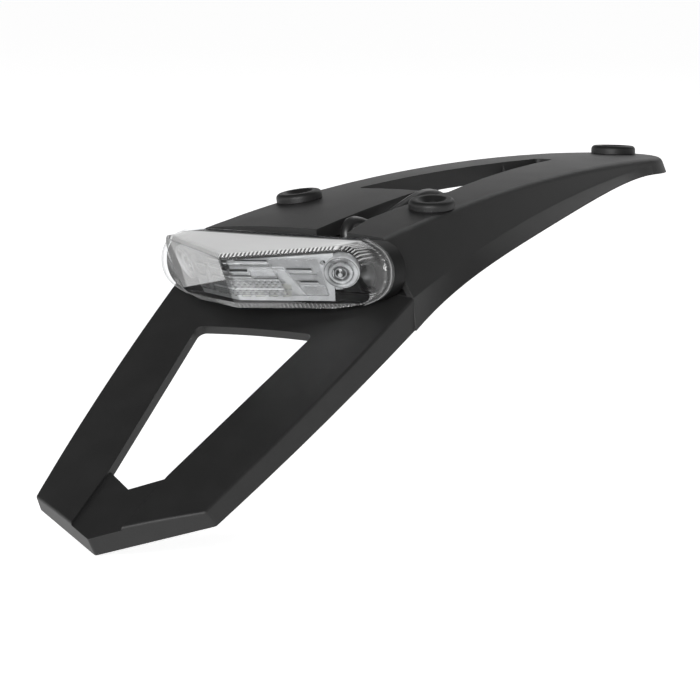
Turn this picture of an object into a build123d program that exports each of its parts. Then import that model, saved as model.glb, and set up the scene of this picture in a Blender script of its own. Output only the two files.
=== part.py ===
"""Motorbike tail tidy: one-piece deck and plate frame, rubber grommets, LED rear lamp and its lead.

Frame: origin on the front fixing's axis at the deck's top face, +X to the right, +Y to the front, +Z up.
All sizes are in millimetres.
"""
from build123d import *
from math import asin, atan2, cos, pi, radians, sin, sqrt, tan
import os

# Deck surface: arched along the bike and crowned across it
deck_arch_radius = 885.0
deck_crown_radius = 400.0
deck_apex_y = -32.0
deck_wall = 2.8
deck_rounding = 2.5
deck_rear_y = -193.3
tip_centre_y = -12.0

# Half-widths of the deck edge, the side crease and the lower edge at the rear, the middle and the tip
middle_y = -101.0
deck_half_rear = 38.1
deck_half_middle = 32.3
deck_half_tip = 24.0
crease_half_rear = 50.6
crease_half_middle = 36.4
crease_half_tip = 24.8
edge_half_rear = 51.8
edge_half_middle = 41.7
edge_half_tip = 26.0

# Heights of the side crease and the lower edge
haunch_y = -157.3
fore_y = -60.0
crease_z_rear = -35.5
crease_z_middle = -13.9
crease_z_tip = -2.5
edge_z_rear = -46.4
edge_z_haunch = -31.8
edge_z_middle = -18.2
edge_z_fore = -10.4
edge_z_tip = -5.8
side_wall = 2.8

# Plate frame
plate_corner_y = -288.6
plate_corner_z = -99.3
plate_apex_y = -304.6
plate_half_corner = 35.5
plate_half_waist = 46.0
plate_waist_y = -232.0
plate_crown = 2.5
plate_skin = 3.2
skirt_depth_top = 10.9
skirt_depth_bottom = 7.7
skirt_draft = 0.6
plate_rounding = 0.9
plate_corner_rounding = 1.5

# Plate window and the shallow step between the legs
window_top_y = -213.6
window_top_half = 24.8
window_bottom_y = -276.9
window_bottom_half = 12.4
window_apex_y = -283.2
window_corner_radius = 2.5
step_bottom_half = 10.0
step_floor = 1.0

# Deck window, its flange and the lead slot
opening_rear_y = -131.0
opening_rear_half = 19.0
opening_front_y = -43.3
opening_front_half = 3.5
opening_corner_radius = 2.0
flange_depth = 6.5
flange_wall = 2.0
slot_flange_depth = 5.0
gusset_length = 17.0
gusset_width = 2.6
gusset_drop = 1.0
slot_rear_left = 10.0
slot_rear_right = 23.9
slot_waist_y = -175.0
slot_waist_right = 18.5
slot_front_left = 8.0
slot_front_right = 17.5

# Rear wall that carries the lamp
rear_wall = 2.5
rear_wall_recess = 2.8

# Grommets
rear_fixing_x = 28.3
rear_fixing_y = -152.0
grommet_stand = 3.0
grommet_radius = 8.0
grommet_waist_radius = 5.4
grommet_foot_radius = 6.5
grommet_foot = 2.2
grommet_bore_radius = 3.3
grommet_mouth_radius = 5.2
grommet_mouth_depth = 1.6
grommet_rounding = 1.5
grommet_mouth_rounding = 0.7
seat_clearance = 0.1
foot_clearance = 0.25

# Rear lamp
lamp_rim_y = -202.0
lamp_axis_z = -26.7
lamp_half_width = 49.0
lamp_half_height = 11.4
lamp_clearance = 0.6
plug_half_width = 36.0
plug_half_height = 5.2
plug_axis_z = -24.6
gasket_thickness = 1.0
housing_wall = 2.4
housing_floor = 2.0
housing_inset = 1.2
lens_flange = 1.5
lens_wall = 1.2
lens_lip = 0.8
lens_end_lip = 1.8
lens_end_taper = 6.4
lens_end_depth = 3.0
lens_shoulder_depth = 6.5
lens_shoulder_drop = 1.5
lens_shoulder_growth = 0.7
keel_top_y = -235.3
keel_top_z = -21.6
keel_bottom_y = -226.1
keel_bottom_z = -37.8
facet_rise = 0.59
lens_roof_z = -16.1
groove_pitch = 1.2
groove_width = 0.7
groove_run = 1.8

# Inside the lamp
tray_gap = 2.0
tray_wall = 1.2
tray_half_width = 29.6
tray_roof_gap = 0.8
tray_bottom_z = -36.7
tray_length = 38.5
tray_relief = 0.6
tray_slot = 0.8
tray_pin_radius = 0.9
board_thickness = 1.0
board_margin = 1.4
led_rows = 2
led_columns = 4
led_pitch = 4.6
led_row_pitch = 2.7
led_first = 8.6
led_first_row = 12.9
led_length = 2.8
led_height = 2.2
led_thickness = 0.9
led_clearance = 0.3
optic_y = -201.4
optic_z = -28.5
optic_radius = 5.3
optic_length = 7.5
optic_bowl_radius = 4.5
optic_bowl_depth = 4.6
side_led_radius = 1.5
side_led_height = 1.4

# Lamp screws
lamp_screw_x = 24.5
screw_radius = 1.75
screw_head_radius = 3.4
screw_head_height = 2.4
screw_clearance = 0.25
thread_clearance = 0.05
screw_reach = 9.5
washer_radius = 4.2
washer_thickness = 0.8
boss_radius = 3.4
boss_height = 4.0

# Lead, its gland, coil, tie and connector
lead_diameter = 4.2
lead_clearance = 0.1
gland_x = 14.0
gland_z = -25.5
gland_radius = 4.0
gland_flange_radius = 5.4
gland_flange = 1.4
coil_y = -152.0
coil_z = -20.6
coil_radius = 21.0
coil_layers = 2
stub_length = 24.0
tail_length = 20.0
tie_width = 3.6
tie_thickness = 1.0
connector_width = 11.0
connector_length = 16.0
connector_height = 8.0
connector_latch = 1.4
connector_recess = 3.0

# How far cutters reach past what they cut
overcut = 4.0
pocket_overcut = 1.0


def curve_through(*points):
    """Return the polynomial in y that passes through the (y, value) points."""
    def value(y):
        total = 0.0
        for i, (yi, vi) in enumerate(points):
            term = vi
            for j, (yj, _) in enumerate(points):
                if j != i:
                    term *= (y - yj) / (yi - yj)
            total += term
        return total
    return value


def sagitta(radius, half_chord):
    """Return how far an arc of this radius drops at this distance from its crown."""
    return radius - sqrt(radius ** 2 - half_chord ** 2)


deck_apex_z = sagitta(deck_arch_radius, deck_apex_y)
deck_half = curve_through(
    (deck_rear_y, deck_half_rear), (middle_y, deck_half_middle), (tip_centre_y, deck_half_tip))
crease_half = curve_through(
    (deck_rear_y, crease_half_rear), (middle_y, crease_half_middle), (tip_centre_y, crease_half_tip))
crease_z = curve_through(
    (deck_rear_y, crease_z_rear), (middle_y, crease_z_middle), (tip_centre_y, crease_z_tip))
edge_half = curve_through(
    (deck_rear_y, edge_half_rear), (middle_y, edge_half_middle), (tip_centre_y, edge_half_tip))
edge_z = curve_through(
    (deck_rear_y, edge_z_rear), (haunch_y, edge_z_haunch), (middle_y, edge_z_middle),
    (fore_y, edge_z_fore), (tip_centre_y, edge_z_tip))
plate_half = curve_through(
    (deck_rear_y, crease_half_rear), (plate_waist_y, plate_half_waist),
    (plate_corner_y, plate_half_corner))
plate_z = curve_through((deck_rear_y, crease_z_rear), (plate_corner_y, plate_corner_z))
skirt_depth = curve_through((deck_rear_y, skirt_depth_top), (plate_corner_y, skirt_depth_bottom))

plate_slope = atan2(crease_z_rear - plate_corner_z, deck_rear_y - plate_corner_y)
plate_plane = Plane(
    origin=(0, deck_rear_y, crease_z_rear), x_dir=(1, 0, 0),
    z_dir=(0, -sin(plate_slope), cos(plate_slope)))
wall_back_y = deck_rear_y + rear_wall_recess
wall_inner_y = wall_back_y + rear_wall
reach = 80.0
cavity_reach = 10.0


def deck_z(x, y):
    """Return the height of the deck's top surface."""
    return deck_apex_z - sagitta(deck_arch_radius, y - deck_apex_y) - sagitta(deck_crown_radius, x)


def deck_normal(x, y):
    """Return the upward direction square to the deck's top surface."""
    along = asin((y - deck_apex_y) / deck_arch_radius)
    across = asin(x / deck_crown_radius)
    return Vector(sin(across), sin(along) * cos(across), cos(along) * cos(across))


def polygon(points):
    """Return the face inside a closed run of straight edges."""
    return make_face(Polyline(*points, close=True))


def mirrored(right_side):
    """Return the outline made of a right side, top to bottom, and its mirror image."""
    left_side = [(-x, y, z) for x, y, z in reversed(right_side)]
    return right_side + left_side


# Moulding: the deck and its sides

def under_deck(depth):
    """Return everything under the deck's top surface lowered by depth."""
    count = 7
    rear_y, front_y = deck_rear_y - reach / 4, tip_centre_y + reach
    sections = []
    for i in range(count):
        y = rear_y + (front_y - rear_y) * i / (count - 1)
        crown, shoulder = deck_z(0, y) - depth, deck_z(reach, y) - depth
        arc = ThreePointArc((-reach, y, shoulder), (0, y, crown), (reach, y, shoulder))
        sides = Polyline((reach, y, shoulder), (reach, y, -2 * reach), (-reach, y, -2 * reach),
                         (-reach, y, shoulder))
        sections.append(make_face([arc, sides]))
    return loft(sections)


def side_points(y, inset, below):
    """Return the right side of a section: above the deck edge, at the crease and at the lower edge."""
    top_x, top_z = deck_half(y), deck_z(deck_half(y), y)
    fold_x, fold_z = crease_half(y), crease_z(y)
    low_x, low_z = edge_half(y), edge_z(y)
    rise = 1 + 12.0 / (top_z - fold_z)
    fall = 1 + below / (fold_z - low_z)
    return [
        (fold_x + (top_x - fold_x) * rise - inset, y, fold_z + (top_z - fold_z) * rise),
        (fold_x - inset, y, fold_z),
        (fold_x + (low_x - fold_x) * fall - inset, y, fold_z + (low_z - fold_z) * fall)]


def deck_body(inset, below, rear_y, depth):
    """Return the deck and its sides as one solid, set in by inset and topped depth under the deck."""
    count = 6
    stations = [rear_y + (tip_centre_y - rear_y) * i / (count - 1) for i in range(count)]
    body = loft([polygon(mirrored(side_points(y, inset, below))) for y in stations])
    side = side_points(tip_centre_y, inset, below)
    half = polygon([(0, tip_centre_y, side[0][2])] + side + [(0, tip_centre_y, side[2][2])])
    tip = revolve(half, Axis((0, tip_centre_y, 0), (0, 0, 1)), 180)
    return (body + tip) & under_deck(depth)


def rounded_deck():
    """Return the deck's outer solid with its top edge rounded."""
    deck = deck_body(0.0, 0.0, deck_rear_y, 0.0)
    edges = []
    for edge in deck.edges():
        middle = edge @ 0.5
        if middle.Y > deck_rear_y + overcut and middle.Z > deck_z(middle.X, middle.Y) - deck_rounding / 10:
            edges.append(edge)
    return fillet(edges, deck_rounding)


# Moulding: the plate frame

def plate_section(y, inset, skin, below):
    """Return a crowned section of the plate frame at y."""
    half = plate_half(y) - inset
    top = plate_z(y) - skin / cos(plate_slope)
    rise = plate_crown / cos(plate_slope)
    low = plate_z(y) - skirt_depth(y) - below
    spread = skirt_draft * (1 + below / skirt_depth(y))
    right, left = (half, y, top), (-half, y, top)
    arc = ThreePointArc(left, (0, y, top + rise), right)
    skirt = Polyline(right, (half + spread, y, low), (-half - spread, y, low), left)
    return make_face([arc, skirt])


def plate_body(inset, skin, below, front_y):
    """Return the plate frame as one solid, before its lower end is trimmed."""
    stations = [front_y, plate_waist_y, plate_corner_y, plate_apex_y - reach / 4]
    return loft([plate_section(y, inset, skin, below) for y in stations])


def along_plate(y):
    """Return the distance along the plate plane that belongs to y."""
    return (y - deck_rear_y) / cos(plate_slope)


def plate_prism(points, low, high):
    """Return a prism square to the plate over (x, y) points, between two heights over its edges."""
    outline = [(x, along_plate(y)) for x, y in points]
    with BuildSketch(plate_plane.offset(low)) as sketch:
        with BuildLine():
            Polyline(*outline, close=True)
        make_face()
    return extrude(sketch.sketch, high - low)


def pointed_end(inset):
    """Return the prism that gives the plate frame its pointed lower end."""
    slope = (plate_corner_y - plate_apex_y) / plate_half_corner
    drop = inset * sqrt(1 + slope ** 2)
    apex = plate_apex_y + drop
    wing = apex + slope * reach
    return plate_prism(
        [(0, apex), (reach, wing), (reach, 0), (-reach, 0), (-reach, wing)], -reach, reach)


def rounded_plate():
    """Return the plate frame's outer solid with the corners of its end and its top edge rounded."""
    plate = plate_body(0.0, 0.0, 0.0, deck_rear_y) & pointed_end(0.0)
    below = [edge for edge in plate.edges() if (edge @ 1).Y < plate_waist_y]
    plate = fillet([edge for edge in below if edge.length < skirt_depth_top], plate_corner_rounding)
    up = plate_plane.z_dir
    top = max(plate.faces(), key=lambda face: face.area * face.normal_at(face.center()).dot(up))
    rim = [edge for edge in top.edges() if min((edge @ 0).Y, (edge @ 1).Y) < deck_rear_y - overcut]
    return fillet(rim, plate_rounding)


def plate_window():
    """Return the cutter for the window between the legs."""
    cutter = plate_prism(
        [(window_top_half, window_top_y), (window_bottom_half, window_bottom_y), (0, window_apex_y),
         (-window_bottom_half, window_bottom_y), (-window_top_half, window_top_y)], -reach, reach)
    corners = cutter.edges().filter_by(Axis((0, 0, 0), plate_plane.z_dir)).sort_by(Axis.Y)[-2:]
    return fillet(corners, window_corner_radius)


def leg_step():
    """Return the cutter for the shallow step of the bar between the legs."""
    run = (window_bottom_half - step_bottom_half) / (window_bottom_y - plate_apex_y)
    past = plate_apex_y - overcut
    low_half = window_bottom_half - run * (window_bottom_y - past)
    return plate_prism(
        [(window_bottom_half, window_bottom_y), (low_half, past), (-low_half, past),
         (-window_bottom_half, window_bottom_y), (0, window_apex_y + overcut)], step_floor, reach)


# Moulding: openings in the deck and the rear wall

def opening_outline(grow):
    """Return the deck window's outline seen from above, grown by grow."""
    outline = Polygon(
        (opening_rear_half, opening_rear_y), (opening_front_half, opening_front_y),
        (-opening_front_half, opening_front_y), (-opening_rear_half, opening_rear_y), align=None)
    outline = fillet(outline.vertices(), opening_corner_radius)
    return offset(outline, grow) if grow else outline


def column(outline):
    """Return a tall prism over an outline seen from above."""
    return extrude(Pos(0, 0, -reach) * outline, 2 * reach)


def deck_flange():
    """Return the wall that hangs down around the deck window."""
    ring = column(opening_outline(flange_wall)) - column(opening_outline(0))
    return (ring & under_deck(deck_wall / 2)) - under_deck(flange_depth)


def slot_outline(rear_y):
    """Return the lead slot's outline seen from above, from rear_y into the deck window."""
    front_y = opening_rear_y + flange_wall
    return Polygon(
        (slot_rear_left, rear_y), (slot_rear_right, rear_y), (slot_waist_right, slot_waist_y),
        (slot_front_right, front_y), (slot_front_left, front_y), align=None)


def slot_flange():
    """Return the walls that hang down along both sides of the lead slot."""
    sides = column(offset(slot_outline(wall_inner_y), flange_wall, kind=Kind.INTERSECTION))
    sides &= Pos(0, (wall_back_y + opening_rear_y) / 2, 0) * Box(
        2 * reach, opening_rear_y - wall_back_y, 2 * reach)
    return (sides & under_deck(deck_wall / 2)) - under_deck(slot_flange_depth)


def lead_slot():
    """Return the cutter for the slot that takes the lead from the rear edge to the deck window."""
    floor = deck_z(slot_rear_right, deck_rear_y) - deck_wall - rear_wall
    return extrude(Pos(0, 0, floor) * slot_outline(deck_rear_y - overcut), reach)


def window_gusset():
    """Return the sloped web that stiffens the front left corner of the deck window."""
    sections = []
    for y in (opening_front_y - gusset_length, opening_front_y):
        share = (opening_front_y - y) / (opening_front_y - opening_rear_y)
        wall = -opening_front_half - share * (opening_rear_half - opening_front_half)
        top = deck_z(wall, y)
        back = wall - flange_wall / 2
        sections.append(polygon([
            (back, y, top - gusset_drop), (wall, y, top - gusset_drop),
            (wall + gusset_width, y, top - flange_depth), (back, y, top - flange_depth)]))
    return loft(sections)


def rear_pocket():
    """Return the cutter for the recess that the lamp sits in."""
    sections = []
    for y in (deck_rear_y - pocket_overcut, deck_rear_y + rear_wall_recess):
        side = side_points(max(y, deck_rear_y), side_wall, 0.0)
        floor = plate_z(max(y, deck_rear_y))
        rise = plate_crown / cos(plate_slope)
        right = [(side[0][0], y, side[0][2]), (side[1][0], y, floor)]
        left = [(-x, py, z) for x, py, z in reversed(right)]
        arc = ThreePointArc(right[1], (0, y, floor + rise), left[0])
        sections.append(make_face([Polyline(*right), arc, Polyline(*left), Line(left[1], right[0])]))
    return loft(sections, ruled=True) & under_deck(deck_wall)


def make_moulding():
    """Return the one-piece moulding."""
    outer = rounded_deck() + rounded_plate()
    body = outer - deck_body(side_wall, cavity_reach, wall_inner_y, deck_wall)
    body -= plate_body(side_wall, plate_skin, cavity_reach, wall_inner_y) & pointed_end(side_wall)
    body += deck_flange()
    body += slot_flange()
    body -= rear_pocket()
    body -= plate_window()
    body -= leg_step()
    body -= column(opening_outline(0))
    body -= lead_slot()
    body += window_gusset()
    for place in grommet_places():
        body -= place * Cylinder(grommet_waist_radius + seat_clearance, 6 * grommet_foot)
    for x in (-lamp_screw_x, lamp_screw_x):
        body -= wall_hole(x, plug_axis_z, screw_radius + screw_clearance)
    body -= wall_hole(gland_x, gland_z, gland_radius + seat_clearance)
    return body


# Places on the deck and the rear wall

def grommet_places():
    """Return the places of the front, rear left and rear right grommets, on the deck's surface."""
    places = []
    for x, y in ((0.0, 0.0), (-rear_fixing_x, rear_fixing_y), (rear_fixing_x, rear_fixing_y)):
        normal = deck_normal(x, y)
        places.append(Location(Plane(origin=(x, y, deck_z(x, y)), x_dir=(1, 0, -normal.X), z_dir=normal)))
    return places


def across_y(y, x=0.0, z=0.0):
    """Return the plane at y whose normal points to the front, with its origin at x and z."""
    return Plane(origin=(x, y, z), x_dir=(1, 0, 0), z_dir=(0, 1, 0))


def wall_hole(x, z, radius):
    """Return the cutter for a round hole through the rear wall."""
    return extrude(across_y(wall_back_y - overcut, x, z) * Circle(radius), rear_wall + 2 * overcut)


# Grommets

def make_grommet():
    """Return one rubber grommet, its deck groove at z = 0 and its axis along z."""
    groove_z = -deck_wall - foot_clearance
    foot_z = groove_z - grommet_foot
    with BuildPart() as grommet:
        with BuildSketch(Plane.XZ):
            with BuildLine():
                Polyline(
                    (grommet_bore_radius, foot_z), (grommet_foot_radius, foot_z),
                    (grommet_foot_radius, groove_z),
                    (grommet_waist_radius, groove_z), (grommet_waist_radius, 0), (grommet_radius, 0),
                    (grommet_radius, grommet_stand), (grommet_mouth_radius, grommet_stand),
                    (grommet_bore_radius, grommet_stand - grommet_mouth_depth), close=True)
            make_face()
        revolve(axis=Axis.Z)
        rims = grommet.edges().filter_by(GeomType.CIRCLE).filter_by(
            lambda edge: abs(edge.radius - grommet_radius) < 0.01)
        fillet(rims.sort_by(Axis.Z)[-1:], grommet_rounding)
        mouth = grommet.edges().filter_by(GeomType.CIRCLE).filter_by(
            lambda edge: abs(edge.radius - grommet_mouth_radius) < 0.01)
        fillet(mouth, grommet_mouth_rounding)
    return grommet.part


# Lamp

lens_base_half_width = lamp_half_width - lens_end_lip
lens_base_half_height = lamp_half_height - lens_lip
lens_shoulder_half_width = lens_base_half_width - lens_end_taper
lens_shoulder_half_height = lens_base_half_height + lens_shoulder_growth
lens_shoulder_y = lamp_rim_y - lens_shoulder_depth
lens_shoulder_z = lamp_axis_z - lens_shoulder_drop
keel_lean = (keel_bottom_y - keel_top_y) / (keel_bottom_z - keel_top_z)
roof_fall = (keel_top_z - lens_roof_z) / (keel_top_y - lamp_rim_y)


def stadium(half_width, half_height, y, z=lamp_axis_z):
    """Return a lamp outline with round ends, across the lamp at y."""
    return across_y(y, 0.0, z) * SlotOverall(2 * half_width, 2 * half_height)


def facet_y(x, z):
    """Return where the lens facets stand at x and z."""
    return keel_top_y + keel_lean * (z - keel_top_z) + facet_rise * abs(x)


def roof_edge_z(x):
    """Return the height at which a facet meets the lens's sloping top."""
    return keel_top_z + facet_rise * abs(x) / (1 / roof_fall - keel_lean)


def bow(inset):
    """Return the pointed prism under the two lens facets, set in by inset."""
    lean = Vector(0, keel_bottom_y - keel_top_y, keel_bottom_z - keel_top_z)
    drop = inset * sqrt(1 + facet_rise ** 2)
    tip = keel_top_y + drop
    wing = tip + facet_rise * reach
    outline = Polygon((0, tip), (reach, wing), (reach, 0), (-reach, 0), (-reach, wing), align=None)
    start = Pos(0, -2 * lean.Y, keel_top_z - 2 * lean.Z) * outline
    return extrude(start, 5 * lean.length, dir=lean.normalized())


def roof(inset):
    """Return everything under the lens's sloping top, set in by inset."""
    front_y, front_z = lamp_rim_y + overcut, lens_roof_z - inset + overcut * roof_fall
    rear_y, rear_z = lamp_rim_y - reach, lens_roof_z - inset - reach * roof_fall
    return extrude(polygon([
        (-reach, front_y, front_z), (-reach, rear_y, rear_z), (-reach, rear_y, -2 * reach),
        (-reach, front_y, -2 * reach)]), 2 * reach, dir=(1, 0, 0))


def lens_solid(inset):
    """Return the solid inside the lens's outer skin, set in by inset."""
    base = stadium(lens_base_half_width - inset, lens_base_half_height - inset, lamp_rim_y)
    shoulder = stadium(lens_shoulder_half_width - inset, lens_shoulder_half_height - inset, lens_shoulder_y,
                       lens_shoulder_z)
    body = loft([base, shoulder])
    body += extrude(shoulder, reach, dir=(0, -1, 0))
    end_y = lamp_rim_y - lens_end_depth + inset
    ends = Pos(0, end_y + reach / 2, lamp_axis_z) * Box(2 * reach, reach, reach)
    return body & (bow(inset) + ends) & roof(inset)


def groove(start, end, along):
    """Return the cutter for one V groove on a line, with its sides to both sides of along."""
    run = Vector(*end) - Vector(*start)
    section = Plane(origin=start, x_dir=along, z_dir=run) * Rectangle(groove_width, groove_width, rotation=45)
    return extrude(section, run.length, dir=run.normalized())


def edge_grooves():
    """Return the grooves across the upper and the lower edge of the facets."""
    half_run = groove_run / 2 / sqrt(2)
    low_z = lens_shoulder_z - lens_shoulder_half_height
    top_count = int((lens_shoulder_half_width - groove_run) / groove_pitch)
    low_count = int((lens_shoulder_half_width - lens_shoulder_half_height) / groove_pitch)
    spots = [(i, roof_edge_z(groove_pitch * (i + 0.5)), half_run) for i in range(top_count)]
    spots += [(i, low_z, -half_run) for i in range(low_count)]
    cutters = []
    for i, z, rise in spots:
        for side in (-1, 1):
            x = side * groove_pitch * (i + 0.5)
            y = facet_y(x, z)
            cutters.append(groove((x, y - half_run, z - rise), (x, y + half_run, z + rise), (1, 0, 0)))
    return cutters


def end_grooves():
    """Return the grooves that fan out over the lens's two ends, from the facet to the flange."""
    cutters = []
    step = groove_pitch / lens_shoulder_half_height
    base_x = lens_base_half_width - lens_base_half_height
    shoulder_x = lens_shoulder_half_width - lens_shoulder_half_height
    foot = lens_flange / lens_shoulder_depth
    for i in range(int(pi / step)):
        turn = pi / 2 - step * (i + 0.5)
        low = Vector(base_x + lens_base_half_height * cos(turn), lamp_rim_y,
                     lamp_axis_z + lens_base_half_height * sin(turn))
        high = Vector(shoulder_x + lens_shoulder_half_height * cos(turn), lens_shoulder_y,
                      lens_shoulder_z + lens_shoulder_half_height * sin(turn))
        if high.Z > roof_edge_z(high.X) - groove_width:
            continue
        above_low, above_high = facet_y(low.X, low.Z) - low.Y, facet_y(high.X, high.Z) - high.Y
        top = min(1.0, above_low / (above_low - above_high))
        if top < 2 * foot:
            continue
        start, end = low + (high - low) * foot, low + (high - low) * top
        for side in (-1, 1):
            along = (-side * sin(turn), 0, cos(turn))
            cutters.append(groove((side * start.X, start.Y, start.Z), (side * end.X, end.Y, end.Z), along))
    return cutters


def make_lens():
    """Return the clear lens with its seating flange and its grooves."""
    rim = extrude(stadium(lamp_half_width, lamp_half_height, lamp_rim_y), lens_flange, dir=(0, -1, 0))
    skin = (lens_solid(0.0) + rim).cut(*edge_grooves(), *end_grooves())
    mouth = stadium(lens_base_half_width - lens_wall, lens_base_half_height - lens_wall, lamp_rim_y)
    return skin - (lens_solid(lens_wall) + extrude(mouth, overcut, dir=(0, 1, 0)))


def over_plate(gap):
    """Return the plate frame grown upwards by gap and carried forward under the lamp."""
    return plate_body(-gap, -gap, 0.0, wall_inner_y)


def make_housing():
    """Return the lamp's back shell with its plug, its screw bosses and the hole for the gland."""
    body_y = deck_rear_y - lamp_clearance
    plug_y = wall_back_y - gasket_thickness
    half_width, half_height = lamp_half_width - housing_inset, lamp_half_height - housing_inset
    shell = extrude(stadium(half_width, half_height, lamp_rim_y), body_y - lamp_rim_y, dir=(0, 1, 0))
    shell -= over_plate(lamp_clearance)
    hollow = stadium(half_width - housing_wall, half_height - housing_wall, lamp_rim_y)
    hollow = extrude(hollow, lamp_floor_y - lamp_rim_y, dir=(0, 1, 0))
    shell -= hollow - over_plate(lamp_clearance + housing_floor)
    shell += extrude(plug_outline(body_y), plug_y - body_y, dir=(0, 1, 0))
    for x in (-lamp_screw_x, lamp_screw_x):
        boss = across_y(lamp_floor_y, x, plug_axis_z) * Circle(boss_radius)
        shell += extrude(boss, boss_height, dir=(0, -1, 0))
        thread = across_y(plug_y, x, plug_axis_z) * Circle(screw_radius + thread_clearance)
        shell -= extrude(thread, screw_reach, dir=(0, -1, 0))
    gland = across_y(plug_y, gland_x, gland_z) * Circle(gland_radius + seat_clearance)
    return shell - extrude(gland, plug_y - lamp_floor_y, dir=(0, -1, 0))


def plug_outline(y):
    """Return the outline of the plug that enters the rear wall's recess."""
    return across_y(y, 0.0, plug_axis_z) * SlotOverall(2 * plug_half_width, 2 * plug_half_height)


def make_gasket():
    """Return the rubber gasket between the lamp's plug and the rear wall."""
    gasket = extrude(plug_outline(wall_back_y), gasket_thickness, dir=(0, -1, 0))
    for x in (-lamp_screw_x, lamp_screw_x):
        gasket -= wall_hole(x, plug_axis_z, screw_radius + screw_clearance)
    return gasket - wall_hole(gland_x, gland_z, gland_radius + seat_clearance)


# Inside the lamp

def facet_plane(side):
    """Return the plane of a lens facet, x along the facet, z out of the lens."""
    along = Vector(side, facet_rise, 0).normalized()
    lean = Vector(0, keel_bottom_y - keel_top_y, keel_bottom_z - keel_top_z).normalized()
    outward = lean.cross(along) if side > 0 else along.cross(lean)
    return Plane(origin=(0, keel_top_y, keel_top_z), x_dir=along, z_dir=outward)


def facet_depth(inset):
    """Return the distance from the facet's plane that belongs to a bow set in by inset."""
    return -facet_plane(1).z_dir.Y * inset * sqrt(1 + facet_rise ** 2)


def facet_sheet(inset, thickness, half_width, bottom_z, roof_inset):
    """Return a sheet behind both facets, under the lens's sloping top and down to bottom_z."""
    sheet = (bow(inset) - bow(inset + thickness)) & roof(roof_inset)
    return sheet & Pos(0, lamp_rim_y, bottom_z + reach / 2) * Box(2 * half_width, 4 * reach, reach)


tray_inset = lens_wall + tray_gap
tray_roof = lens_wall + tray_roof_gap
board_inset = tray_inset + tray_wall
lamp_floor_y = deck_rear_y - lamp_clearance - housing_floor


def led_places():
    """Return the middle of each LED along and down its facet."""
    return [(led_first + led_pitch * column, led_first_row + led_row_pitch * row)
            for row in range(led_rows) for column in range(led_columns)]


def facet_prism(side, near, far, shape):
    """Return a shape drawn along and down a facet, as a prism between two insets behind the lens."""
    plane = facet_plane(side)
    start = plane.offset(-facet_depth(near))
    if plane.y_dir.Z > 0:
        shape = mirror(shape, Plane.XZ)
    return extrude(start * shape, facet_depth(far) - facet_depth(near), dir=-plane.z_dir)


def facet_blocks(side, length, height, near, far):
    """Return one block for each LED place of a side, between two insets behind the lens."""
    return [facet_prism(side, near, far, Pos(x, y, 0) * Rectangle(length, height)) for x, y in led_places()]


# Marks on a wing of the tray, as runs along the facet and heights down it
tray_slots = ((7.0, 17.8, 4.2), (23.7, 32.8, 7.6), (11.3, 22.0, 10.9), (28.4, 34.3, 12.4))
tray_shelf = (9.4, 19.0, 5.6, 8.2)
tray_band = ((18.8, 6.3), (22.0, 6.3), (30.0, 17.0), (27.0, 17.0))
tray_pin = (34.9, 3.2)


def tray_marks(side):
    """Return what is added to and cut from one wing of the tray."""
    left, right, upper, lower = tray_shelf
    shelf = Pos((left + right) / 2, (upper + lower) / 2) * Rectangle(right - left, lower - upper)
    raised = tray_inset - tray_relief / facet_depth(1.0)
    band = Polygon(*tray_band, align=None)
    added = [facet_prism(side, raised, board_inset, shape) for shape in (shelf, band)]
    cut = []
    for start, end, down in tray_slots:
        shape = Pos((start + end) / 2, down) * Rectangle(end - start, tray_slot)
        cut.append(facet_prism(side, lens_wall, board_inset, shape))
    cut.append(facet_prism(side, lens_wall, board_inset, Pos(*tray_pin) * Circle(tray_pin_radius)))
    cut += facet_blocks(side, led_length + led_clearance, led_height + led_clearance, lens_wall, board_inset)
    return added, cut


def make_tray():
    """Return the bright tray: two wings behind the facets and two legs that stand on the housing."""
    tray = facet_sheet(tray_inset, tray_wall, reach, tray_bottom_z, tray_roof)
    leg_height = 1.6 * optic_radius
    slab = Box(2 * tray_half_width, reach, leg_height)
    slab -= Box(2 * (tray_half_width - tray_wall), reach, leg_height)
    legs = (Pos(0, lamp_floor_y - reach / 2, optic_z) * slab) & bow(tray_inset) & roof(tray_roof)
    tray += legs - over_plate(lamp_clearance + housing_floor + seat_clearance)
    for side in (-1, 1):
        past_end = Pos(tray_length + reach / 2, 0) * Rectangle(reach, 2 * reach)
        tray -= facet_prism(side, lens_wall, board_inset, past_end)
        added, cut = tray_marks(side)
        tray = (tray + added) - cut
    return tray


def make_boards():
    """Return the left and right LED boards, which lie behind the tray's wings."""
    half_width = tray_half_width - tray_wall - board_margin
    both = facet_sheet(board_inset, board_thickness, half_width, tray_bottom_z + board_margin,
                       tray_roof + board_margin)
    both -= Box(2 * board_margin, 8 * reach, 8 * reach)
    left, right = both.solids().sort_by(Axis.X)
    return left, right


def make_leds(side):
    """Return the LED packages on one board."""
    return Compound(facet_blocks(side, led_length, led_height, board_inset - led_thickness, board_inset))


def beside_tray(side, part):
    """Return a piece made along z, laid along x and seated on the tray's end."""
    turn = Rot(0, 90 * side, 0)
    return Pos(side * tray_half_width, optic_y, optic_z) * turn * part


def make_optic(side):
    """Return one side optic: a round bowl over the side LED."""
    body = Cylinder(optic_radius, optic_length, align=(Align.CENTER, Align.CENTER, Align.MIN))
    bowl_z = optic_length - optic_bowl_depth
    throat = side_led_radius + led_clearance
    with BuildPart() as bowl:
        with BuildSketch(Plane.XZ):
            with BuildLine():
                Line((0, 0), (throat, 0))
                Line((throat, 0), (throat, bowl_z))
                ThreePointArc((throat, bowl_z), (optic_bowl_radius * 0.8, bowl_z + optic_bowl_depth * 0.4),
                              (optic_bowl_radius, optic_length))
                Polyline((optic_bowl_radius, optic_length), (0, optic_length), (0, 0))
            make_face()
        revolve(axis=Axis.Z)
    return beside_tray(side, body - bowl.part)


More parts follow.
